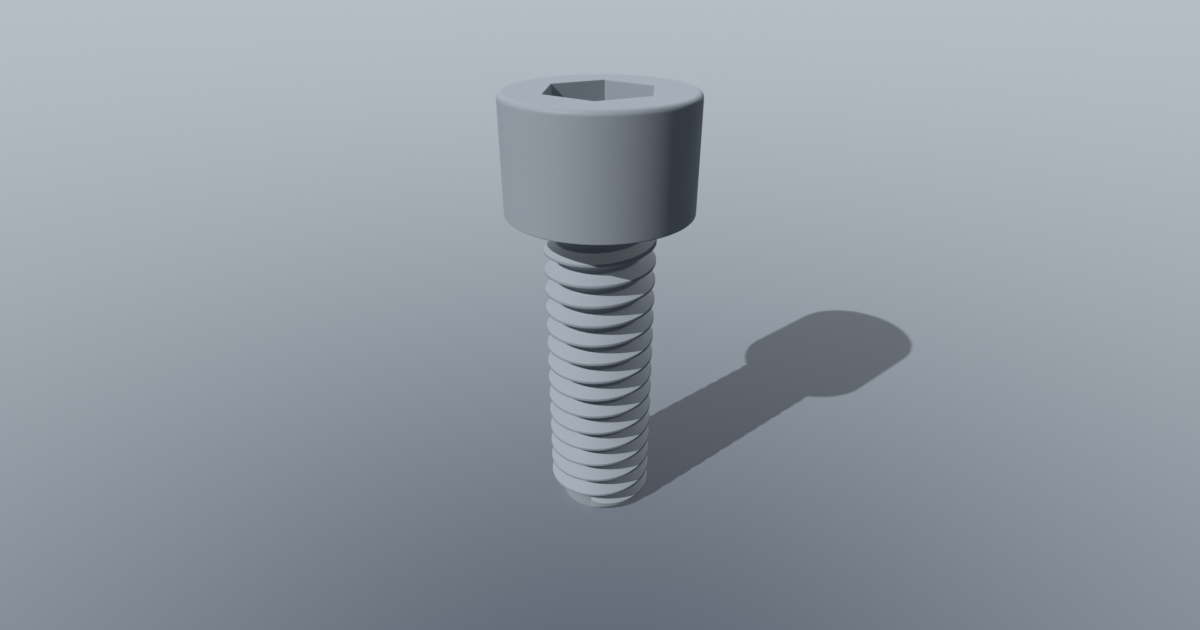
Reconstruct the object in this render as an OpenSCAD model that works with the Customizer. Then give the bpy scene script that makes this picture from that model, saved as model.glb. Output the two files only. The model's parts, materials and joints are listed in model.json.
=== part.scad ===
// Socket head cap screw, number 8 with 32 threads to the inch, half an inch long.
// It stands on its threaded end with its axis on Z, and the middle of its end face is the origin.
// All sizes are in millimetres and all angles in degrees.

/* [Head] */
// Diameter of the head
head_d = 6.858; // [6:0.001:8]
// Height of the head above its bearing face
head_h = 4.166; // [3.2:0.001:6]
// Radius of the rounded edge round the top of the head
head_edge_r = 0.19; // [0.05:0.01:0.6]

/* [Socket] */
// Width of the hexagonal socket across its flats
socket_af = 3.572; // [2.4:0.001:4.4]
// Depth of the flats, which is how far a hexagon key goes in
socket_depth = 2; // [1:0.01:2.6]
// Depth of the cone in the floor of the socket
socket_cone_h = 0.45; // [0.1:0.01:0.5]
// Angle from the X axis to the nearest corner of the hexagon
socket_turn = 25.2; // [0:0.1:60]

/* [Shank] */
// Length of the shank, from its end face to the bearing face of the head
shank_l = 12.7; // [6:0.1:16]
// Radius of the fillet between the shank and the bearing face
neck_r = 0.2; // [0.05:0.01:0.4]
// Diameter of the flat end face
end_d = 3.24; // [2.4:0.01:3.8]
// Angle of the chamfer round the end, measured from the end face
end_angle = 45; // [20:1:60]

/* [Thread] */
// Diameter over the crests of the thread
thread_d = 4.166; // [3.6:0.001:5]
// Distance from one crest to the next, one thirty-second of an inch
thread_pitch = 0.79375; // [0.45:0.00005:1]
// Angle between the two flanks of a groove
thread_angle = 60; // [55:1:60]
// Turns over which the last groove runs out to nothing under the head
runout_turns = 0.6; // [0.3:0.05:1.5]
// Plain shank left between the last groove and the bearing face
neck_gap = 0.07; // [0.05:0.01:1]
// Angle from the X axis at which the middle of the groove crosses the end face
thread_turn = -41.6; // [-180:0.1:180]

/* [Hidden] */

head_r = head_d / 2;
thread_r = thread_d / 2;
end_r = end_d / 2;
top_z = shank_l + head_h;
chamfer_h = (thread_r - end_r) * tan(end_angle);

// Sides that a hexagon has
hexagon = 6;
// Corner radius of a hexagon for each unit of its width across the flats
af_to_corner = 0.5 / cos(180 / hexagon);
// Flat step between the cone in the socket's floor and the flats
socket_step = 0.06;

// Width of the flat crest and radius of the rounded root, each as a part of the pitch
crest_share = 1 / 8;
root_share = 0.144;
half_angle = thread_angle / 2;
groove_half_w = thread_pitch * (1 - crest_share) / 2;
root_r = thread_pitch * root_share;
// Depths below the crest of the sharp V that the flanks would make and of the rounded root
sharp_depth = groove_half_w / tan(half_angle);
groove_depth = sharp_depth - root_r / sin(half_angle) + root_r;

// Steps round one turn of the groove, and facets across its rounded root
turn_steps = 48;
root_facets = 2;
// How far the groove's cutter stands out past the crests, and how far below the end face it starts
cutter_lip = 0.03;
lead_in_turns = 0.7;
// Facets round a full circle
circle_facets = 120;
// How far one shape reaches into the next so that they join
overlap = 0.05;

// Height of the middle of the groove where it has run out, and the turns up to there from the end face
runout_z = shank_l - neck_gap - groove_half_w;
groove_turns = runout_z / thread_pitch;
// How far outside the crests the root is at the last step, so that the groove ends clear of the shank
runout_past = 0.03;

// Section of the groove as points of [distance outside the crest, height from the groove's middle]
lip_half_w = groove_half_w + cutter_lip * tan(half_angle);
root_centre = groove_depth - root_r;
root_arc = [
    for (i = [0 : root_facets])
        let (a = (90 - half_angle) * (1 - 2 * i / root_facets))
        [-root_centre - root_r * cos(a), root_r * sin(a)]
];
groove_section = concat([[cutter_lip, -lip_half_w], [cutter_lip, lip_half_w]], root_arc);
section_points = len(groove_section);

// How far the section has moved out of the shank after so many turns from the end face
function section_shift(turns) =
    (groove_depth + runout_past) * max(0, turns - (groove_turns - runout_turns)) / runout_turns;

// The section's points in space after so many turns from the end face
function section_at(turns) = [
    for (p = groove_section)
        let (r = thread_r + p[0] + section_shift(turns), a = thread_turn + 360 * turns)
        [r * cos(a), r * sin(a), turns * thread_pitch + p[1]]
];

// Cutter for the groove: the section swept up a right-hand helix
module groove_cutter() {
    step_count = ceil((groove_turns + lead_in_turns) * turn_steps);
    turns_each = (groove_turns + lead_in_turns) / step_count;
    points = [for (i = [0 : step_count]) each section_at(i * turns_each - lead_in_turns)];
    sides = [
        for (i = [0 : step_count - 1], j = [0 : section_points - 1])
            let (
                k = (j + 1) % section_points,
                low = i * section_points,
                high = low + section_points
            )
            each [[low + j, high + k, high + j], [low + j, low + k, high + k]]
    ];
    first = [for (j = [section_points - 1 : -1 : 0]) j];
    last = [for (j = [0 : section_points - 1]) step_count * section_points + j];
    polyhedron(points = points, faces = concat([first], sides, [last]), convexity = 20);
}

// Half section of the head, with its top edge rounded
module head_section() {
    translate([0, shank_l])
        square([head_r, head_h - head_edge_r]);
    translate([0, shank_l])
        square([head_r - head_edge_r, head_h]);
    translate([head_r - head_edge_r, top_z - head_edge_r])
        circle(r = head_edge_r, $fn = circle_facets);
}

// Half section of the shank before it is threaded, with its chamfered end
module shank_section() {
    polygon([
        [0, 0],
        [end_r, 0],
        [thread_r, chamfer_h],
        [thread_r, shank_l + overlap],
        [0, shank_l + overlap]
    ]);
}

// Half section of the fillet under the head
module neck_section() {
    difference() {
        translate([thread_r - overlap, shank_l - neck_r])
            square([neck_r + overlap, neck_r + overlap]);
        translate([thread_r + neck_r, shank_l - neck_r])
            circle(r = neck_r, $fn = circle_facets);
    }
}

// Hexagonal socket with a shallow cone in its floor
module socket_cutter() {
    floor_z = top_z - socket_depth;
    rotate([0, 0, socket_turn]) {
        translate([0, 0, floor_z])
            cylinder(r = socket_af * af_to_corner, h = socket_depth + overlap, $fn = hexagon);
        translate([0, 0, floor_z - socket_cone_h])
            cylinder(r1 = 0, r2 = socket_af / 2 - socket_step, h = socket_cone_h, $fn = circle_facets);
    }
}

// The screw, turned from one bar, with its thread and socket cut in it
module cap_screw() {
    color("lightsteelblue")
        difference() {
            rotate_extrude($fn = circle_facets) {
                head_section();
                shank_section();
                neck_section();
            }
            groove_cutter();
            socket_cutter();
        }
}

cap_screw();
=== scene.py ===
import json
import math

import bmesh
import bpy
from mathutils import Matrix, Vector


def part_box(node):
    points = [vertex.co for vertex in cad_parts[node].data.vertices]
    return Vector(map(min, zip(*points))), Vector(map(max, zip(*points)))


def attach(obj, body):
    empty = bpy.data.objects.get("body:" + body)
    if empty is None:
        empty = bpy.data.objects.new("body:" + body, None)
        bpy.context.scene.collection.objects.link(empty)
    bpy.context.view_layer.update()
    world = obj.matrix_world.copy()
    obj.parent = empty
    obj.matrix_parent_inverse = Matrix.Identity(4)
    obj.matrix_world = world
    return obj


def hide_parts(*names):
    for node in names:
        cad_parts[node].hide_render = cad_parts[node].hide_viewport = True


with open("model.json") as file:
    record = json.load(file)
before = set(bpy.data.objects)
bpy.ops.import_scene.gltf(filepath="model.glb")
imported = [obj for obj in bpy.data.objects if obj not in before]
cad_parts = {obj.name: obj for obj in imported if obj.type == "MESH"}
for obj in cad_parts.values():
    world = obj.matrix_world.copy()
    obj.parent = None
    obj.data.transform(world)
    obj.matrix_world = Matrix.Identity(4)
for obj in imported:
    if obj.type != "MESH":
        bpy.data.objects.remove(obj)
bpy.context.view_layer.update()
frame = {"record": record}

# Lengths are in millimetres and angles in degrees, unless a comment says otherwise.
MM = 0.001
NODE = "cap_screw"
MOUNTS = {mount["name"]: mount for mount in frame["record"]["mounts"]}

# Head, with the hexagonal socket that a key turns it by
HEAD_R = MOUNTS["head_side"]["dims"]["r_mm"]
TOP_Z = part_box(NODE)[1].z / MM
HEAD_EDGE_R = 0.19
FOOT_EDGE_R = 0.04
SOCKET_AF = 3.572
SOCKET_DEPTH = 2
SOCKET_CONE_H = 0.45
SOCKET_STEP = 0.06
SOCKET_MOUTH_R = 0.02
SOCKET_TURN = 25.2
FLOOR_Z = TOP_Z - SOCKET_DEPTH
HEXAGON_STEP = 60

# Shank, with its fillet under the head and its chamfered end
SHANK_L = MOUNTS["bearing_face"]["pos_m"][2] / MM
NECK_R = 0.2
END_R = 1.62
END_ANGLE = 45
END_EDGE_R = 0.06

# Thread, with the proportions of the unified coarse series
THREAD_R = 2.083
PITCH = 25.4 / 32
# Half the angle between the two flanks of a groove, in radians
HALF_ANGLE = math.radians(30)
# Width of the flat crest and radius of the rounded root, each as a part of the pitch
CREST_SHARE = 1 / 8
ROOT_SHARE = 0.144
CREST_EDGE_R = 0.02
RUNOUT_TURNS = 0.6
NECK_GAP = 0.07
THREAD_TURN = -41.6
# Turns above the end face at which the first ridge starts, the turns over which it grows to its full
# height, and the power of that growth, which is bluntest at its start
RIDGE_START = 0.328
RIDGE_GROWTH = 0.24
RIDGE_POWER = 1 / 3
# Height of the plain end under the first ridge
PLAIN_END_H = 0.5
GROOVE_HALF_W = PITCH * (1 - CREST_SHARE) / 2
ROOT_R = PITCH * ROOT_SHARE
ROOT_CENTRE = GROOVE_HALF_W / math.tan(HALF_ANGLE) - ROOT_R / math.sin(HALF_ANGLE)
GROOVE_TURNS = (SHANK_L - NECK_GAP - GROOVE_HALF_W) / PITCH

# Brightness of the painted shade down in the socket, and how much of that painted shade the thread has
RECESS_SHADE_LEVEL = 0.83
THREAD_SHADE_SHARE = 0.35
# Width over which the painted shade fades out, how far outside the thread the fade starts, and how far
# under the head's top face it ends
SHADE_FADE_W = 0.05
SHADE_OUTSIDE = 0.03
SHADE_BELOW_TOP = 0.01

# Floor: its darker pool in front of the screw, and how it fades with the distance from a point over it
POOL_Y = -14
POOL_H = 9
POOL_REACH = 25.1
POOL_FADE = 1.45
# The floor lies this far below the end face, so that the two don't share a plane
FLOOR_GAP = 0.002
# Half the floor's width, in metres
FLOOR_HALF_W = 4

# How finely the surfaces are divided: columns round the shank, and points along a flank as shares of it
COLUMNS = 120
COLUMN_W = 2 * math.pi * THREAD_R / COLUMNS
FLANK_SHARES = (0.06, 0.35, 0.65, 0.94)
# Turns that the thread's sheet has to spare at either end before it is cut to length
SPARE_TURNS = 2
# The sheet ends, and the head's outline starts, this far under the fillet
NECK_JOIN = 0.05
THREAD_TOP = SHANK_L - NECK_R - NECK_JOIN
# Width of the narrow strips beside rounded edges, which keep the flats beyond them evenly shaded
FLAT_EDGE = 0.03
# Edges that turn by more than this angle, in radians, are shaded as sharp ones
SHARP_ANGLE = math.radians(30)
# Points closer together than this are joined
WELD = 0.002
# Points this close to a cutting plane lie on it
ON_PLANE = 0.0001
# Points this close to a column, as a share of the columns' width, belong to it
ON_COLUMN = 0.01


def arc(centre, radius, start, end, steps):
    """Points along an arc in a half section, as (distance from the axis, height)."""
    angles = [math.radians(start + (end - start) * i / steps) for i in range(steps + 1)]
    return [(centre[0] + radius * math.cos(a), centre[1] + radius * math.sin(a)) for a in angles]


def add_chain(bm, points):
    """Joins the points of a half section with edges, ready to be spun."""
    verts = [bm.verts.new((r, 0, z)) for r, z in points]
    edges = [bm.edges.new(pair) for pair in zip(verts, verts[1:])]
    return verts + edges


def head_outline():
    """Half section from the middle of the socket's floor over the head and down to the shank."""
    half_af = SOCKET_AF / 2
    floor = [(0, FLOOR_Z - SOCKET_CONE_H), (half_af - SOCKET_STEP, FLOOR_Z), (half_af, FLOOR_Z)]
    mouth = arc((half_af + SOCKET_MOUTH_R, TOP_Z - SOCKET_MOUTH_R), SOCKET_MOUTH_R, 180, 90, 4)
    top = [(half_af + SOCKET_MOUTH_R + FLAT_EDGE, TOP_Z), (HEAD_R - HEAD_EDGE_R - FLAT_EDGE, TOP_Z)]
    edge = arc((HEAD_R - HEAD_EDGE_R, TOP_Z - HEAD_EDGE_R), HEAD_EDGE_R, 90, 0, 10)
    side = [(HEAD_R, TOP_Z - HEAD_EDGE_R - FLAT_EDGE), (HEAD_R, SHANK_L + FOOT_EDGE_R + FLAT_EDGE)]
    foot = arc((HEAD_R - FOOT_EDGE_R, SHANK_L + FOOT_EDGE_R), FOOT_EDGE_R, 0, -90, 5)
    bearing = [(HEAD_R - FOOT_EDGE_R - FLAT_EDGE, SHANK_L), (THREAD_R + NECK_R + FLAT_EDGE, SHANK_L)]
    neck = arc((THREAD_R + NECK_R, SHANK_L - NECK_R), NECK_R, 90, 180, 8)
    return floor + mouth + top + edge + side + foot + bearing + neck + [(THREAD_R, THREAD_TOP)]


def add_head(bm):
    """Spins the head, then draws the socket's rings out to the hexagon."""
    before = set(bm.verts)
    bmesh.ops.spin(
        bm, geom=add_chain(bm, head_outline()), cent=(0, 0, 0), axis=(0, 0, 1),
        dvec=(0, 0, 0), angle=2 * math.pi, steps=COLUMNS, use_merge=True, use_duplicate=False)
    inner = SOCKET_AF / 2 - WELD
    outer = SOCKET_AF / 2 + SOCKET_MOUTH_R + FLAT_EDGE + WELD
    for vert in set(bm.verts) - before:
        if vert.co.z > FLOOR_Z - WELD and inner < vert.co.xy.length < outer:
            from_corner = math.degrees(math.atan2(vert.co.y, vert.co.x)) % HEXAGON_STEP
            stretch = 1 / math.cos(math.radians(from_corner - HEXAGON_STEP / 2))
            vert.co.xy = vert.co.xy * stretch


def groove_section():
    """Points across one groove from its lower edge up.
    Each is (depth under the crest, height from the groove's middle)."""
    crest_centre = (CREST_EDGE_R, GROOVE_HALF_W + CREST_EDGE_R * math.tan(HALF_ANGLE))
    crest_edge = arc(crest_centre, CREST_EDGE_R, 180, 240, 3)
    root = arc((ROOT_CENTRE, 0), ROOT_R, 60, 0, 4)
    start, end = Vector(crest_edge[-1]), Vector(root[0])
    flank = [tuple(start.lerp(end, share)) for share in FLANK_SHARES]
    upper = crest_edge + flank + root
    lower = [(depth, -height) for depth, height in upper]
    return lower[:-1] + upper[::-1]


def nearest_turns(x, height, phase=0):
    """Turns that the helix nearest to a place on the flat sheet has made from the end face up to there.
    Phase 0 is the middle of the groove, and half a turn more is the middle of the ridge."""
    here = x / (COLUMN_W * COLUMNS) + (SOCKET_TURN - THREAD_TURN) / 360 + phase
    return here + round(height / PITCH - here)


def add_thread_sheet(bm):
    """Draws the ridges and grooves as a flat sheet: x goes round the shank, y away from its axis."""
    first = nearest_turns(0, -SPARE_TURNS * PITCH)
    middles = [PITCH * (first + i) for i in range(math.ceil(GROOVE_TURNS) + 2 * SPARE_TURNS)]
    section = groove_section()
    verts = [
        bm.verts.new((0, THREAD_R - depth, middle + height))
        for middle in middles for depth, height in section]
    edges = [bm.edges.new(pair) for pair in zip(verts, verts[1:])]
    bmesh.ops.spin(
        bm, geom=verts + edges, cent=(0, 0, 0), axis=(0, 0, 1),
        dvec=(COLUMN_W, 0, PITCH / COLUMNS), angle=0, steps=COLUMNS, use_merge=False, use_duplicate=False)


def run_out(bm):
    """Lets the last groove grow shallow and narrow until it ends under the head."""
    for vert in bm.verts:
        turns = nearest_turns(vert.co.x, vert.co.z)
        share = min(1, max(0, (GROOVE_TURNS - turns) / RUNOUT_TURNS))
        middle = Vector((vert.co.x, THREAD_R, turns * PITCH))
        vert.co = middle.lerp(vert.co, share)
    bmesh.ops.remove_doubles(bm, verts=bm.verts, dist=WELD)


def lead_in(bm):
    """Trims the first ridge along its flanks: it starts bluntly on the plain end, then grows slowly."""
    for vert in bm.verts:
        turns = nearest_turns(vert.co.x, vert.co.z, 0.5)
        grown = min(1, max(0, (turns - RIDGE_START) / RIDGE_GROWTH)) ** RIDGE_POWER
        over = vert.co.y - END_R - (THREAD_R - END_R) * grown
        if over > 0:
            vert.co.y -= over
            vert.co.z += math.copysign(over * math.tan(HALF_ANGLE), vert.co.z - turns * PITCH)
    bmesh.ops.remove_doubles(bm, verts=bm.verts, dist=WELD)


def cut(bm, point, normal, **clear):
    """Cuts the whole mesh along a plane, and clears one side if asked to."""
    geom = list(bm.verts) + list(bm.edges) + list(bm.faces)
    bmesh.ops.bisect_plane(bm, geom=geom, dist=ON_PLANE, plane_co=point, plane_no=normal, **clear)


def chamfer_end(bm):
    """Trims the sheet to the shank's length, and lays what stands out at the end on the chamfer."""
    slope = math.tan(math.radians(END_ANGLE))
    tangent = END_EDGE_R * math.tan(math.radians(END_ANGLE / 2))
    edge = arc((END_R - tangent, END_EDGE_R), END_EDGE_R, -90, END_ANGLE - 90, 4)
    cut(bm, (0, 0, THREAD_TOP), (0, 0, 1), clear_outer=True)
    cut(bm, (0, 0, 0), (0, 0, 1), clear_inner=True)
    cut(bm, (0, END_R, 0), (0, 1, -1 / slope))
    for _, height in edge[1:]:
        cut(bm, (0, 0, height), (0, 0, 1))
    for vert in bm.verts:
        limit = END_R + vert.co.z / slope
        if vert.co.z < edge[-1][1]:
            below = END_EDGE_R - vert.co.z
            limit = END_R - tangent + math.sqrt(max(0, END_EDGE_R ** 2 - below ** 2))
        vert.co.y = min(vert.co.y, limit)


def even_top(bm):
    """Takes out the points of the sheet's top edge that lie between two columns."""
    def off_column(vert):
        place = vert.co.x / COLUMN_W
        return abs(place - round(place)) > ON_COLUMN
    spare = [v for v in bm.verts if v.co.z > THREAD_TOP - WELD and off_column(v)]
    bmesh.ops.dissolve_verts(bm, verts=spare)


def roll_up(bm):
    """Rolls the flat sheet round the axis."""
    for vert in bm.verts:
        turned = Matrix.Rotation(vert.co.x / THREAD_R, 4, "Z")
        vert.co = turned @ Vector((vert.co.y, 0, vert.co.z))


def close_end(bm):
    """Closes the end face, with a narrow rim that keeps its shading flat."""
    loop = [e for e in bm.edges if e.is_boundary and max(v.co.z for v in e.verts) < WELD]
    face = bmesh.ops.contextual_create(bm, geom=loop)["faces"]
    bmesh.ops.inset_region(bm, faces=face, thickness=FLAT_EDGE, use_even_offset=True)


def finished_piece(bm, name, material):
    """Turns a mesh drawn in millimetres into a smooth piece at its place in the frame."""
    bmesh.ops.remove_doubles(bm, verts=bm.verts, dist=WELD)
    bmesh.ops.recalc_face_normals(bm, faces=bm.faces)
    turn = Matrix.Rotation(math.radians(SOCKET_TURN), 3, "Z")
    bmesh.ops.rotate(bm, verts=bm.verts, cent=(0, 0, 0), matrix=turn)
    bmesh.ops.scale(bm, vec=(MM, MM, MM), verts=bm.verts)
    for face in bm.faces:
        face.smooth = True
    mesh = bpy.data.meshes.new(name)
    bm.to_mesh(mesh)
    bm.free()
    mesh.set_sharp_from_angle(angle=SHARP_ANGLE)
    mesh.materials.append(material)
    piece = bpy.data.objects.new(name, mesh)
    bpy.context.scene.collection.objects.link(piece)
    return piece


def make_screw(material):
    """The whole screw in one piece: rolled thread, chamfered end, and head with its socket."""
    bm = bmesh.new()
    add_thread_sheet(bm)
    run_out(bm)
    lead_in(bm)
    chamfer_end(bm)
    even_top(bm)
    roll_up(bm)
    add_head(bm)
    bmesh.ops.remove_doubles(bm, verts=bm.verts, dist=WELD)
    close_end(bm)
    return finished_piece(bm, "coated_cap_screw", material)


def linear(hex_colour):
    """Linear colour with alpha for an sRGB hex value such as "8c969e"."""
    parts = [int(hex_colour[i:i + 2], 16) / 255 for i in (0, 2, 4)]
    return [p / 12.92 if p <= 0.04045 else ((p + 0.055) / 1.055) ** 2.4 for p in parts] + [1]


def add_node(tree, kind, inputs=None, **settings):
    """Adds one node with its settings, and sets or links its inputs by name or number."""
    node = tree.nodes.new(kind)
    for name, value in settings.items():
        setattr(node, name, value)
    for name, value in (inputs or {}).items():
        if isinstance(value, bpy.types.NodeSocket):
            tree.links.new(value, node.inputs[name])
        else:
            node.inputs[name].default_value = value
    return node


def per_mm(size):
    """Scale of a pattern on coordinates in metres whose features are this many millimetres across."""
    return 1 / (size * MM)


def new_material(name):
    """An empty node material, with its tree and its output."""
    material = bpy.data.materials.new(name)
    material.use_nodes = True
    tree = material.node_tree
    tree.nodes.clear()
    return material, tree, add_node(tree, "ShaderNodeOutputMaterial")


def painted_recess_shade(tree, place):
    """Share of painted shade: 1 down in the socket, less on the thread, and 0 on the outside of the head
    and on the plain end.
    """
    across = add_node(tree, "ShaderNodeVectorMath", {0: place, 1: (1, 1, 0)}, operation="MULTIPLY")
    length = add_node(tree, "ShaderNodeVectorMath", {0: across.outputs[0]}, operation="LENGTH")
    radius = length.outputs["Value"]
    height = add_node(tree, "ShaderNodeSeparateXYZ", {0: place}).outputs["Z"]
    # Each fade is a distance, the places where it starts and ends, and what is left from its end on
    fades = (
        (radius, THREAD_R + SHADE_OUTSIDE, THREAD_R + SHADE_OUTSIDE + SHADE_FADE_W, 0),
        (height, TOP_Z - SHADE_BELOW_TOP - SHADE_FADE_W, TOP_Z - SHADE_BELOW_TOP, 0),
        (height, PLAIN_END_H, PLAIN_END_H / 2, 0),
        (height, FLOOR_Z - SOCKET_CONE_H, SHANK_L, THREAD_SHADE_SHARE),
    )
    share = 1
    for distance, start, end, rest in fades:
        left = add_node(tree, "ShaderNodeMapRange", {
            "Value": distance, "From Min": start * MM, "From Max": end * MM, "To Min": 1, "To Max": rest})
        share = add_node(tree, "ShaderNodeMath", {
            0: share, 1: left.outputs["Result"]}, operation="MULTIPLY").outputs[0]
    return share


def zinc_flake_coating():
    """Zinc flake coating, dipped and baked on alloy steel: a dry silver-grey with a soft sheen and no
    mirror in it, grained by its flakes, and slightly cloudy where the coat is thicker."""
    material, tree, output = new_material("zinc_flake_coating")
    place = add_node(tree, "ShaderNodeTexCoord").outputs["Object"]
    # The flakes are about 0.015 mm across, and are drawn three times as coarse so that they show
    grain = add_node(tree, "ShaderNodeTexNoise", {
        "Vector": place, "Scale": per_mm(0.045), "Detail": 3, "Roughness": 0.6})
    clouds = add_node(tree, "ShaderNodeTexNoise", {
        "Vector": place, "Scale": per_mm(1.1), "Detail": 4, "Roughness": 0.55})
    flakes = add_node(tree, "ShaderNodeMix", {
        "Factor": grain.outputs["Fac"], "A": linear("939ba3"), "B": linear("b3bac2")}, data_type="RGBA")
    coat = add_node(tree, "ShaderNodeMix", {
        "Factor": 0.5, "A": flakes.outputs["Result"], "B": linear("a2abb3")}, data_type="RGBA")
    # Painted shade: the coat's colour is darkened down in the socket and a little on the thread, where
    # those recesses lie in shade
    shaded_coat = add_node(tree, "ShaderNodeMix", {
        "Factor": painted_recess_shade(tree, place), "A": coat.outputs["Result"],
        "B": (RECESS_SHADE_LEVEL, RECESS_SHADE_LEVEL, RECESS_SHADE_LEVEL, 1)}, data_type="RGBA", blend_type="MULTIPLY")
    roughness = add_node(tree, "ShaderNodeMapRange", {
        "Value": clouds.outputs["Fac"], "From Min": 0.3, "From Max": 0.7, "To Min": 0.64, "To Max": 0.76})
    bump = add_node(tree, "ShaderNodeBump", {
        "Height": grain.outputs["Fac"], "Strength": 0.25, "Distance": 0.01 * MM})
    shader = add_node(tree, "ShaderNodeBsdfPrincipled", {
        "Base Color": shaded_coat.outputs["Result"], "Metallic": 0.12, "Roughness": roughness.outputs["Result"],
        "Specular IOR Level": 0.25, "Normal": bump.outputs["Normal"]})
    tree.links.new(shader.outputs["BSDF"], output.inputs["Surface"])
    return material


def seen_or_mirrored(tree):
    """1 for rays by which the picture and the metal's sheen see a surface, 0 for its bounced light."""
    path = add_node(tree, "ShaderNodeLightPath").outputs
    share = path["Is Camera Ray"]
    for other in ("Is Glossy Ray", "Is Transmission Ray"):
        share = add_node(tree, "ShaderNodeMath", {0: share, 1: path[other]}, operation="MAXIMUM").outputs[0]
    return share


def studio_floor():
    """Matt painted board in a blue-grey that pales away from a soft pool in front of the screw."""
    material, tree, output = new_material("studio_floor")
    place = add_node(tree, "ShaderNodeTexCoord").outputs["Object"]
    pool = add_node(tree, "ShaderNodeVectorMath", {
        0: place, 1: (0, POOL_Y * MM, POOL_H * MM)}, operation="DISTANCE").outputs["Value"]
    # How far the tone has paled: half way at one reach from the point, and slowly on from there
    far = add_node(tree, "ShaderNodeMath", {0: POOL_REACH * MM, 1: pool}, operation="DIVIDE").outputs[0]
    spread = add_node(tree, "ShaderNodeMath", {0: far, 1: POOL_FADE}, operation="POWER").outputs[0]
    total = add_node(tree, "ShaderNodeMath", {0: spread, 1: 1}, operation="ADD").outputs[0]
    share = add_node(tree, "ShaderNodeMath", {0: 1, 1: total}, operation="DIVIDE").outputs[0]
    paint = add_node(tree, "ShaderNodeMix", {
        "Factor": share, "A": linear("28344b"), "B": linear("b2b9bf")}, data_type="RGBA")
    shown = add_node(tree, "ShaderNodeMix", {
        "Factor": seen_or_mirrored(tree), "A": linear("34373c"),
        "B": paint.outputs["Result"]}, data_type="RGBA")
    shader = add_node(tree, "ShaderNodeBsdfDiffuse", {"Color": shown.outputs["Result"]})
    tree.links.new(shader.outputs["BSDF"], output.inputs["Surface"])
    return material


def add_floor():
    """Plain board that fills the view, with the screw standing on it."""
    bm = bmesh.new()
    bmesh.ops.create_grid(bm, x_segments=1, y_segments=1, size=FLOOR_HALF_W)
    bmesh.ops.translate(bm, vec=(0, 0, -FLOOR_GAP * MM), verts=bm.verts)
    mesh = bpy.data.meshes.new("floor")
    bm.to_mesh(mesh)
    bm.free()
    mesh.materials.append(studio_floor())
    floor = bpy.data.objects.new("floor", mesh)
    bpy.context.scene.collection.objects.link(floor)


def add_sun(name, azimuth, elevation, strength, spread, is_fill=False):
    """Lamp that shines on everything from one direction, with a spread that softens its shadows.
    A fill casts no shadow and leaves no glint."""
    lamp = bpy.data.lights.new(name, "SUN")
    lamp.energy = strength * math.pi
    lamp.angle = math.radians(spread)
    lamp.use_shadow = not is_fill
    sun = bpy.data.objects.new(name, lamp)
    sun.visible_glossy = not is_fill
    sun.rotation_euler = (0, math.radians(90 - elevation), math.radians(azimuth))
    bpy.context.scene.collection.objects.link(sun)


def light_scene():
    """Key lamp from the left front, a fill from high behind that reaches into the grooves, and walls
    that are dim for the light they give but pale in the metal's sheen. Strength 1 shows white as white."""
    add_sun("key", azimuth=220, elevation=39.4, strength=0.92, spread=0.5)
    add_sun("fill", azimuth=80, elevation=45, strength=0.59, spread=10, is_fill=True)
    world = bpy.data.worlds.new("studio")
    world.use_nodes = True
    tree = world.node_tree
    walls = add_node(tree, "ShaderNodeMix", {
        "Factor": seen_or_mirrored(tree), "A": linear("474c53"), "B": linear("b6bdc5")}, data_type="RGBA")
    tree.links.new(walls.outputs["Result"], tree.nodes["Background"].inputs["Color"])
    bpy.context.scene.world = world


def add_camera():
    """Camera with the photograph's angle and field of view, in front of the screw and above the floor."""
    image_w = 1200
    focal_pixels = 675.5
    pitch_down = 27.944
    in_front = 23.240
    above_floor = 20.744
    camera = bpy.data.cameras.new("camera")
    camera.sensor_width = 36
    camera.lens = camera.sensor_width * focal_pixels / image_w
    camera.clip_start = 1 * MM
    camera.clip_end = 10
    eye = bpy.data.objects.new("camera", camera)
    eye.location = (0, -in_front * MM, above_floor * MM)
    eye.rotation_euler = (math.radians(90 - pitch_down), 0, 0)
    bpy.context.scene.collection.objects.link(eye)
    bpy.context.scene.camera = eye


screw = make_screw(zinc_flake_coating())
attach(screw, "root")
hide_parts(NODE)
add_floor()
light_scene()
add_camera()
bpy.context.scene.view_settings.view_transform = "Standard"
